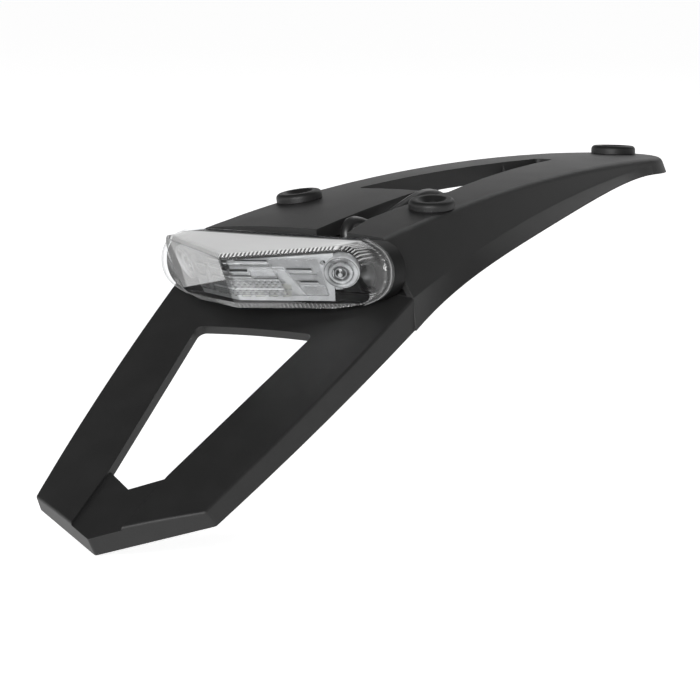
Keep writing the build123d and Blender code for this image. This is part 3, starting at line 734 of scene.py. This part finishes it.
    def numbers(self, at: np.ndarray) -> tuple[np.ndarray, dict[str, np.ndarray]]:
        """Work out the grooves and the looks of the outer skin from its zones.

        Each flute's hollow is a raised cosine of the phase. It is cut along the chamfer, and shallower in the
        fans at the four corners. The roof, the fans, the row of dots before the flange, the chamfer's ticks,
        the flange's edge and the cheeks at both ends each add their own share of whiteness and of dark. The
        white is frosting on the roof and painted highlight along the ridges, the ticks and the flange's edge;
        the dark in the ticks' hollows, on the cheeks and along the flange's edge is painted shade.

        Args:
            at: the rows' places, counted in key loops.

        Returns:
            The depth of the grooves in millimetres, and the numbers of white haziness and painted highlight,
            of painted shade and of skin, rows by columns.
        """
        tones = self.tones
        at = at[:, None]
        x, height, phase = (line[None, :] for line in self.turn())
        past = np.abs(x) - self.straight
        end = Ramp(0.0, 2 / self.end_round).share(past)
        upper = self.upper_half.share(height)
        wave = 0.5 - 0.5 * np.cos(2 * np.pi * phase)
        ridge = np.clip(tones.ridge[0] - tones.ridge[1] * wave, 0, 1)
        rope = self.rope.share(at)
        ticks = rope * (1 - end)
        fan = self.fan.share(at) * end * self.fan_corner.share(np.abs(height))
        fade = np.clip((self.end_round - past) / self.roof_fade, 0, 1)
        roof = self.roof.share(at) * self.roof_side.share(height) * fade
        dots = self.dots.share(at) * end
        edge = self.edge.share(at) * self.edge_ends.share(past)
        cheek = self.cheek.share(at) * self.cheek_ends.share(past)
        depth = self.groove_depth * wave * np.maximum(ticks, self.fan_depth * np.maximum(rope, fan))
        low_ticks = tones.low_ticks[0] + tones.low_ticks[1] * ridge
        # Whiteness: frosting on the roof, painted highlight along the ridges, the ticks and the flange's
        # edge; on the cheeks it carries the painted shade.
        haze_and_highlight = (tones.roof * roof + (tones.fan * fan + tones.dots * dots) * ridge
                + ticks * (tones.ticks * upper + low_ticks * (1 - upper)))
        haze_and_highlight = np.maximum(np.maximum(haze_and_highlight, tones.edge * edge), tones.cheek * cheek)
        # Painted shade: dark in the upper ticks' hollows, on the cheeks and along the flange's edge.
        tick_painted_shade = (tones.tick_painted_shade[0] * wave - tones.tick_painted_shade[1]) * ticks * upper
        bare_cheek = cheek * (1 - edge) * (1 - dots) * (1 - fan)
        painted_shade = np.clip(tick_painted_shade + tones.cheek_painted_shade * bare_cheek + tones.edge_painted_shade * edge, 0, 1)
        skin = np.where(at > self.flange_from, tones.flange_gloss, 1.0 - (1.0 - tones.end_gloss) * end)
        return depth, {"haze_and_highlight": haze_and_highlight, "painted_shade": painted_shade, "skin": skin}

    def build(self) -> bpy.types.Object:
        """Build the lens: the grooved skin, and a plain lining one wall behind it up to the flange.

        Returns:
            The lens, which stands for its solid.
        """
        rows, at = self.between(self.loops(), self.span_rows)
        along = np.roll(rows, -1, axis=1) - np.roll(rows, 1, axis=1)
        normal = np.cross(along, np.gradient(rows, axis=0))
        normal /= np.linalg.norm(normal, axis=2, keepdims=True) + TINY
        facet_rows = slice(2, self.span_rows[0])
        normal *= np.sign(np.median(-normal[facet_rows, :, 1]))
        depth, numbers = self.numbers(at)
        skin = rows - normal * depth[..., None]
        lined = sum(self.span_rows[:self.lined_spans]) + self.lined_spans
        lining = rows[:lined] - normal[:lined] * self.wall
        mouth = lining[-1:].copy()
        mouth[..., 1] = self.rim_y
        inside = np.concatenate([mouth, lining[::-1]])
        none = np.zeros(inside.shape[:2])
        numbers = {key: np.concatenate([given, none]) for key, given in numbers.items()}
        mesh = grid_mesh("lens_skin", np.concatenate([skin, inside]), numbers)
        piece = new_object("lens_skin", mesh, self.finish)
        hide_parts("lamp_lens")
        return piece


@dataclass
class SideJewel:
    """The round optic behind each facet's outer end: a stepped, glassy disc with a dark-ringed eye.

    Each entry of the profile is a circle: its radius as a share of the whole, how far it lies behind the
    front, and how dark it is. The bright and dark rings are painted highlight and painted shade that stand
    for what the glassy optic reflects and bends.
    """

    side: Side
    centre: tuple[float, float] = (34.0, -27.4)
    eye_shift: tuple[float, float] = (-0.6, -1.8)
    radius: float = 6.2
    front: float = 1.7
    facet: Lens = field(default_factory=Lens)
    around: int = 96
    ring: Zone = Zone(0.5, 0.98, 6, 20)
    # Where the painted shade on the outer ring falls, and how dark it is.
    sector_turn: float = 1.9
    sector_painted_shade: tuple[float, float] = (0.75, 0.5)
    # Pale colour: painted highlight; dark colour: painted shade.
    finish: Jewel = Jewel("optic_jewel", colour=grey(0.85), shade=grey(0.05), roughness=0.08)
    profile: tuple[Point, ...] = (
        (0.00, 0.9, 0.00), (0.10, 0.95, 0.10), (0.14, 1.2, 1.00), (0.26, 1.9, 0.95), (0.32, 2.1, 0.45),
        (0.36, 1.5, 0.95), (0.46, 1.1, 0.80), (0.52, 0.9, 0.15), (0.62, 0.6, 0.00), (0.66, 1.3, 0.90),
        (0.71, 0.5, 0.30), (0.76, 0.2, 0.00), (0.90, 0.2, 0.00), (0.93, 0.6, 0.75), (0.96, 0.1, 0.00),
        (1.00, 0.4, 0.25), (1.00, 3.2, 0.50), (0.86, 5.5, 0.70), (0.00, 6.0, 0.80))

    def build(self) -> bpy.types.Object:
        """Build the optic.

        Its rows are the profile's circles in the facet's own plane. The circles' middles slide from the
        disc's centre towards the eye as they get smaller, and the outer ring gets painted shade on some of
        its sides, as cosines of the angle cut off below zero.

        Returns:
            The optic.
        """
        along, _, inward = self.facet.axes()
        up = np.cross(along, inward)
        share, depth, dark = np.array(self.profile).T
        angle = np.arange(self.around) / self.around * 2 * np.pi
        x0, z0 = self.centre
        base = np.array([x0, float(self.facet.bow_y(np.array(x0), np.array(z0))), z0])
        slide = (1 - share)[:, None, None] * (self.eye_shift[0] * along + self.eye_shift[1] * up)
        circle = np.cos(angle)[:, None] * along + np.sin(angle)[:, None] * up
        rows = base + slide + self.radius * share[:, None, None] * circle
        rows = rows + (self.front + depth)[:, None, None] * inward
        rows[..., 0] *= self.side.value
        # Painted shade: the outer ring is darker on some sides, by the angle.
        once = np.clip(np.cos(angle - self.sector_turn), 0, 1) ** 2
        twice = np.clip(np.cos(2 * angle - self.sector_turn), 0, 1)
        painted_shade_sectors = self.sector_painted_shade[0] * once + self.sector_painted_shade[1] * twice
        tone = np.clip(dark[:, None] + self.ring.share(share)[:, None] * painted_shade_sectors[None, :], 0, 1)
        name = f"{self.side.name.lower()}_jewel"
        return new_object(name, grid_mesh(name, rows, {"dark": tone}), self.finish)


@dataclass
class LightGuide:
    """The clear relief plate before each wing of the tray: blocks, grooves, a slanted band and small pips.

    Places are along the facet from the keel and down it from its upper edge. A block is two places along,
    two down and a height, the band is its start down, then place and slant of its two edges, and the pips'
    field is two places along and two down.
    """

    side: Side
    facet: Lens = field(default_factory=Lens)
    run: tuple[float, float] = (0.5, 32.6)
    drop: tuple[float, float] = (1.7, 16.4)
    step: float = 0.15
    face: float = 2.1
    back: float = 2.8
    soft: float = 0.2
    blocks: tuple[tuple[float, float, float, float, float], ...] = (
        (4.5, 15.6, 2.2, 3.0, -0.45), (0.5, 15.8, 3.4, 4.4, 0.25), (1.5, 8.0, 6.0, 7.2, -0.45),
        (8.6, 17.2, 6.2, 9.3, 0.45), (1.0, 8.4, 8.5, 9.2, -0.4), (9.4, 18.6, 9.3, 10.1, -0.45),
        (21.2, 29.6, 5.4, 6.3, -0.45), (21.8, 29.6, 6.8, 10.2, 0.2), (24.2, 30.4, 10.5, 11.4, -0.45),
        (0.5, 18.4, 13.6, 16.0, 0.4), (24.0, 32.4, 12.2, 16.2, 0.2))
    band: tuple[float, float, float, float, float] = (4.8, 16.4, 0.22, 20.4, 0.42)
    band_height: float = 0.5
    band_foot: float = 0.4
    pips: tuple[float, float, float, float] = (0.8, 18.0, 10.3, 16.2)
    pip_pitch: float = 2.1
    pip_height: float = 0.16
    # Whiteness over the field of pips: part frosting, part painted light on a place in shade.
    pips_frost_and_light: float = 0.3
    # How much painted highlight the steps and sides get, and how much painted shade the steps and hollows
    # get.
    step_tone: tuple[float, float] = (0.9, 0.1)
    side_tone: tuple[float, float] = (0.5, 0.1)
    floor_painted_shade: float = 2.4
    light_share: float = 0.8
    painted_shade_share: float = 0.95
    least_haze: float = 0.02
    least_tone: float = 0.001
    # The guide's pale colour is painted highlight and its dark colour is painted shade.
    finish: Clear = Clear(
        "clear_guide", tint=grey(0.985), haze_and_highlight_colour=grey(0.95), painted_shade_colour=grey(0.04), gloss=1.0,
        roughness=0.04)

    def ease(self, low: Any, high: Any, at: np.ndarray) -> np.ndarray:
        """Return a box with soft edges.

        Args:
            low: lower bound.
            high: upper bound.
            at: places.

        Returns:
            1 between the bounds and 0 outside them, with a straight ramp centred on each bound.
        """
        rise = np.clip((at - low) / self.soft + 0.5, 0, 1)
        fall = np.clip((high - at) / self.soft + 0.5, 0, 1)
        return np.minimum(rise, fall)

    def field_of_pips(self, along: np.ndarray, down: np.ndarray) -> np.ndarray:
        """Return 1 in the field of pips and 0 outside it."""
        first, last, upper, lower = self.pips
        return self.ease(first, last, along) * self.ease(upper, lower, down)

    def relief(self, along: np.ndarray, down: np.ndarray) -> np.ndarray:
        """Return the height of the face over its flat.

        The height is a sum of soft-edged boxes, plus a band whose two edges slant, plus a product of two
        cosines, cut off below zero, for the pips.

        Args:
            along: run along the facet from the keel, in millimetres.
            down: drop down the facet from the upper edge, in millimetres.

        Returns:
            The height, in millimetres.
        """
        start, left, left_slant, right, right_slant = self.band
        left_edge = left + left_slant * (down - start)
        right_edge = right + right_slant * (down - start)
        foot = self.drop[1] - self.band_foot
        band = self.ease(start, foot, down) * self.ease(left_edge, right_edge, along)
        outside = 1 - band
        wave = np.cos(2 * np.pi * along / self.pip_pitch) * np.cos(2 * np.pi * down / self.pip_pitch)
        pips = self.field_of_pips(along, down) * np.clip(wave, 0, 1)
        boxes = sum(tall * self.ease(u0, u1, along) * self.ease(v0, v1, down)
                    for u0, u1, v0, v1, tall in self.blocks)
        raised = np.maximum(boxes * outside, self.band_height * band)
        sunk = np.minimum(boxes, 0) * outside
        return raised + sunk + self.pip_height * pips * outside

    def tones(self, height: np.ndarray, pips_frost_and_light: np.ndarray) -> tuple[np.ndarray, np.ndarray]:
        """Work out the looks of the face.

        Steps that face up and the sides of the relief get painted highlight, and steps that face down and the
        floors of grooves get painted shade, standing for light that clear plastic bends; the field of pips is
        a little whiter, part frosting and part painted light on a place that lies in shade.

        Args:
            height: the relief, in millimetres.
            pips_frost_and_light: whiteness over the field of pips, part frosting and part painted light.

        Returns:
            The numbers of white haziness and painted highlight, and of painted shade.
        """
        across, fall = np.gradient(height, self.step)
        gain, start = self.step_tone
        side_gain, side_start = self.side_tone
        # Painted highlight on steps that face up and on the relief's sides.
        light = np.clip(fall * gain - start, 0, 1)
        light = light + np.clip(np.abs(across) * side_gain - side_start, 0, side_gain)
        # Painted shade on steps that face down and on the floors of hollows.
        dark = np.maximum(np.clip(-fall * gain - start, 0, 1), np.clip(-height * self.floor_painted_shade, 0, 1))
        haze_and_highlight = np.clip(self.light_share * light + self.painted_shade_share * dark + pips_frost_and_light, 0, self.painted_shade_share)
        return haze_and_highlight + self.least_haze, dark / (dark + light + self.least_tone)

    def build(self) -> bpy.types.Object:
        """Build the guide: a relief face and a flat back that close at all four edges.

        Returns:
            The guide.
        """
        along_axis, down_axis, inward = self.facet.axes()
        corner = np.array([0.0, *self.facet.keel])
        along, down = np.meshgrid(
            np.arange(*self.run, self.step), np.arange(*self.drop, self.step), indexing="ij")
        height = self.relief(along, down)
        haze_and_highlight, painted_shade = self.tones(height, self.pips_frost_and_light * self.field_of_pips(along, down))
        flat = corner + along[..., None] * along_axis + down[..., None] * down_axis
        front = flat + (self.face - height)[..., None] * inward
        rear = flat + self.back * inward
        front[[0, -1]] = rear[[0, -1]]
        points = np.concatenate([front, rear[:, ::-1]], axis=1)
        points[..., 0] *= self.side.value
        none = np.zeros_like(height)
        looks = {"haze_and_highlight": haze_and_highlight, "painted_shade": painted_shade, "skin": np.ones_like(height)}
        numbers = {key: np.concatenate([given, none], axis=1) for key, given in looks.items()}
        name = f"{self.side.name.lower()}_guide"
        return new_object(name, grid_mesh(name, points, numbers), self.finish)


@dataclass
class Lead:
    """The lamp's lead: one smooth line from the gland over the deck, down and into a tied coil."""

    diameter: float = 0.0042
    length: float = 0.34
    round_steps: int = 5
    line_steps: int = 8
    route: tuple[Point, ...] = (
        (0.0140, -0.1866, -0.0255), (0.0140, -0.1843, -0.0255), (0.0138, -0.1816, -0.0247),
        (0.0134, -0.1801, -0.0225), (0.0128, -0.1799, -0.0192), (0.0124, -0.1797, -0.0160),
        (0.0122, -0.1784, -0.0137), (0.0122, -0.1756, -0.0128), (0.0122, -0.1720, -0.0133),
        (0.0124, -0.1680, -0.0146), (0.0126, -0.1615, -0.0146), (0.0128, -0.1550, -0.0122),
        (0.0124, -0.1450, -0.0088), (0.0122, -0.1360, -0.0062),
        (0.0120, -0.1286, -0.0063), (0.0114, -0.1210, -0.0088), (0.0084, -0.1128, -0.0122),
        (0.0008, -0.1062, -0.0156), (-0.0090, -0.1050, -0.0178), (-0.0172, -0.1094, -0.0186),
        (-0.0210, -0.1180, -0.0185), (-0.0210, -0.1280, -0.0185), (-0.0210, -0.1400, -0.0185))
    coil_centre: tuple[float, float] = (0.0, -0.152)
    coil_radius: float = 0.021
    coil_turns: float = 1.25
    coil_steps: int = 16
    coil_top: float = -0.0185
    coil_drop: float = 0.0042
    tail: tuple[Point, ...] = ((0.0100, -0.1730, -0.0227), (0.0200, -0.1730, -0.0227))
    finish: Plain = Plain("lead_sheath", grey(0.02), 0.36, mottle=0.3, spot=0.002, specular=0.6)

    def points(self) -> np.ndarray:
        """Work out the control points: the route, the coil's turns as a falling circle, and the tail.

        The coil starts on its left side and goes round to the rear, the right and the front, and its height
        falls evenly over its turns.

        Returns:
            Points by three, in metres.
        """
        count = round(self.coil_turns * self.coil_steps)
        step = np.arange(count + 1)
        angle = np.pi + 2 * np.pi * step / self.coil_steps
        turns = np.stack([
            self.coil_centre[0] + self.coil_radius * np.cos(angle),
            self.coil_centre[1] + self.coil_radius * np.sin(angle),
            self.coil_top - self.coil_drop * step / count], -1)
        return np.concatenate([np.array(self.route), turns, np.array(self.tail)])

    def build(self) -> bpy.types.Object:
        """Build the lead as a curve of one smooth spline.

        Returns:
            The lead, which stands for its solids.
        """
        points = self.points()
        curve = bpy.data.curves.new("lead_line", "CURVE")
        curve.dimensions = "3D"
        curve.bevel_depth = self.diameter / 2
        curve.bevel_resolution = self.round_steps
        curve.use_fill_caps = True
        spline = curve.splines.new("NURBS")
        spline.points.add(len(points) - 1)
        spline.points.foreach_set("co", np.column_stack([points, np.ones(len(points))]).ravel())
        spline.order_u = 3
        spline.use_endpoint_u = True
        spline.resolution_u = self.line_steps
        spline.use_smooth = True
        piece = new_object("lead_line", curve, self.finish)
        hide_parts("lead", "lead_coil")
        return piece


@dataclass
class Finishes:
    """Finishes of the solids that are shown as they are, and the solids that each one dresses."""

    moulded: Grained = Grained(
        "moulded_plastic", colour=grey(0.013), pale=grey(0.02), roughness=0.5, unevenness=0.08,
        grain=0.00045, depth=0.00004, edge=0.0004)
    rubber: Grained = Grained(
        "grommet_rubber", colour=grey(0.008), pale=grey(0.014), roughness=0.5, unevenness=0.1,
        grain=0.0006, depth=0.00002, edge=0.0002)
    housing: Plain = Plain("housing_black", grey(0.006), 0.6, mottle=0.3, specular=0.2)
    tray: Bright = Bright("tray_bright", colour=grey(0.92), shade=grey(0.8), roughness=0.25, metallic=0.1)
    board: Plain = Plain("board_white", (0.7, 0.71, 0.7, 1.0), 0.45, mottle=0.15)
    led: Plain = Plain("led_package", (0.86, 0.86, 0.8, 1.0), 0.3, mottle=0.1, spot=0.0008)
    optic: Bowl = Bowl(
        "optic_bowl", inner=grey(0.05), outer=grey(0.008), axis=(-0.2014, -0.0285), radius=0.0046,
        roughness=0.4)
    zinc: Plain = Plain("zinc_plate", (0.55, 0.56, 0.58, 1.0), 0.32, metallic=1.0, mottle=0.2)
    nylon: Plain = Plain("tie_nylon", grey(0.02), 0.4, mottle=0.3)
    connector: Plain = Plain("connector_nylon", (0.6, 0.59, 0.55, 1.0), 0.42, mottle=0.2)
    nodes: dict[str, tuple[str, ...]] = field(default_factory=lambda: {
        "moulded": ("tail_moulding",),
        "rubber": ("front_grommet", "rear_left_grommet", "rear_right_grommet", "lamp_gasket", "cable_gland"),
        "housing": ("lamp_housing",),
        "tray": ("tray_reflector",),
        "board": ("left_led_board", "right_led_board"),
        "led": ("left_leds", "right_leds", "left_side_led", "right_side_led"),
        "optic": ("left_side_optic", "right_side_optic"),
        "zinc": ("lamp_screws", "lamp_washers"),
        "nylon": ("coil_tie",),
        "connector": ("lead_connector",)})

    def dress(self) -> None:
        """Give each solid its material."""
        for finish, names in self.nodes.items():
            made = getattr(self, finish).material()
            for name in names:
                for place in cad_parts[name].material_slots:
                    place.material = made


@dataclass
class PhotoCamera:
    """The camera of the photograph, in metres and degrees; its lens and sensor are in millimetres."""

    azimuth: float = 36.5
    elevation: float = 5.8
    aim: Point = (-0.00118, -0.15921, -0.05886)
    distance: float = 2.2241
    lens: float = 331.7
    sensor: float = 36.0

    def build(self) -> None:
        """Put the camera behind and to the right of the part and make it the scene's camera."""
        turn, rise = math.radians(self.azimuth), math.radians(self.elevation)
        right = Vector((math.cos(turn), math.sin(turn), 0.0))
        back = Vector((math.sin(turn) * math.cos(rise), -math.cos(turn) * math.cos(rise), math.sin(rise)))
        up = back.cross(right)
        data = bpy.data.cameras.new("photo_camera")
        data.lens = self.lens
        data.sensor_width = self.sensor
        camera = bpy.data.objects.new("photo_camera", data)
        bpy.context.collection.objects.link(camera)
        turned = Matrix((right, up, back)).transposed().to_4x4()
        camera.matrix_world = Matrix.Translation(Vector(self.aim) + self.distance * back) @ turned
        bpy.context.scene.camera = camera


@dataclass(frozen=True)
class Lamp:
    """A square soft lamp that faces the part."""

    name: str
    at: Point
    watts: float
    size: float
    aim: Point = (0.0, -0.16, -0.05)

    def build(self) -> None:
        """Hang the lamp."""
        data = bpy.data.lights.new(self.name, "AREA")
        data.energy = self.watts
        data.size = self.size
        lamp = bpy.data.objects.new(self.name, data)
        bpy.context.collection.objects.link(lamp)
        facing = (Vector(self.aim) - Vector(self.at)).to_track_quat("-Z", "Y")
        lamp.matrix_world = Matrix.Translation(self.at) @ facing.to_matrix().to_4x4()


@dataclass
class Studio:
    """White floor, a world that is white near the horizon and dim overhead, and four soft lamps."""

    floor_half: float = 30.0
    floor_gap: float = 0.0005
    floor_colour: Colour = grey(0.8)
    floor_glow: float = 0.84
    bright_below: float = 0.1
    dim_above: float = 0.5
    dim: float = 0.12
    lamps: tuple[Lamp, ...] = (
        Lamp("key_lamp", at=(-0.3, 1.4, 1.2), watts=5.0, size=1.0),
        Lamp("rim_lamp", at=(-1.3, 1.5, 0.6), watts=1.3, size=1.0),
        Lamp("left_lamp", at=(-1.1, -1.6, 0.2), watts=5.0, size=1.0),
        Lamp("fill_lamp", at=(0.75, -1.9, 0.2), watts=46.0, size=1.2))

    def world(self) -> None:
        """Light the world from near the horizon, and show it white to the camera and through clear parts."""
        made = bpy.data.worlds.new("studio_world")
        tree = ShaderTree(made)
        place = tree.node("ShaderNodeTexCoord", {}, {}, "Generated")
        height = tree.node("ShaderNodeSeparateXYZ", {}, {0: place}, "Z")
        sky = height.ramp(self.bright_below, self.dim_above, 1.0, self.dim)
        level = sky.at_least(tree.ray("Is Camera Ray").at_least(tree.ray("Is Transmission Ray")))
        tree.surface(tree.node("ShaderNodeBackground", {}, {"Strength": level}), "ShaderNodeOutputWorld")
        bpy.context.scene.world = made

    def floor(self) -> None:
        """Lay the white floor under the part's lowest point; it keeps a soft shadow."""
        low = CAD_BOX[0][2] - self.floor_gap
        side = self.floor_half
        mesh = bpy.data.meshes.new("floor")
        mesh.from_pydata([(-side, -side, low), (side, -side, low), (side, side, low), (-side, side, low)],
                         [], [(0, 1, 2, 3)])
        made = bpy.data.materials.new("floor_white")
        tree = ShaderTree(made)
        seen = tree.ray("Is Camera Ray").at_least(tree.ray("Is Glossy Ray"))
        seen = seen.at_least(tree.ray("Is Transmission Ray"))
        matt = tree.node("ShaderNodeBsdfDiffuse", {}, {"Color": self.floor_colour})
        glow = tree.node("ShaderNodeEmission", {}, {"Color": grey(1.0), "Strength": self.floor_glow})
        lit = tree.node("ShaderNodeAddShader", {}, {0: matt, 1: glow})
        tree.surface(tree.mix_shader(seen, matt, lit))
        floor = bpy.data.objects.new("floor", mesh)
        bpy.context.collection.objects.link(floor)
        mesh.materials.append(made)

    def build(self) -> None:
        """Make the world, the floor and the lamps."""
        self.world()
        self.floor()
        for lamp in self.lamps:
            lamp.build()
        bpy.context.scene.view_settings.view_transform = "Standard"


def main() -> None:
    """Build the camera, the studio and the pieces in order."""
    logging.basicConfig(level=logging.INFO)
    PhotoCamera().build()
    Studio().build()
    Finishes().dress()
    sides = [make(side) for make in (SideJewel, LightGuide) for side in Side]
    for part in (Lead(), Lens(), *sides):
        piece = part.build()
        faces = len(piece.data.polygons) if piece.type == "MESH" else 0
        LOG.info("%s: %d faces", piece.name, faces)


if __name__ == "__main__":
    main()
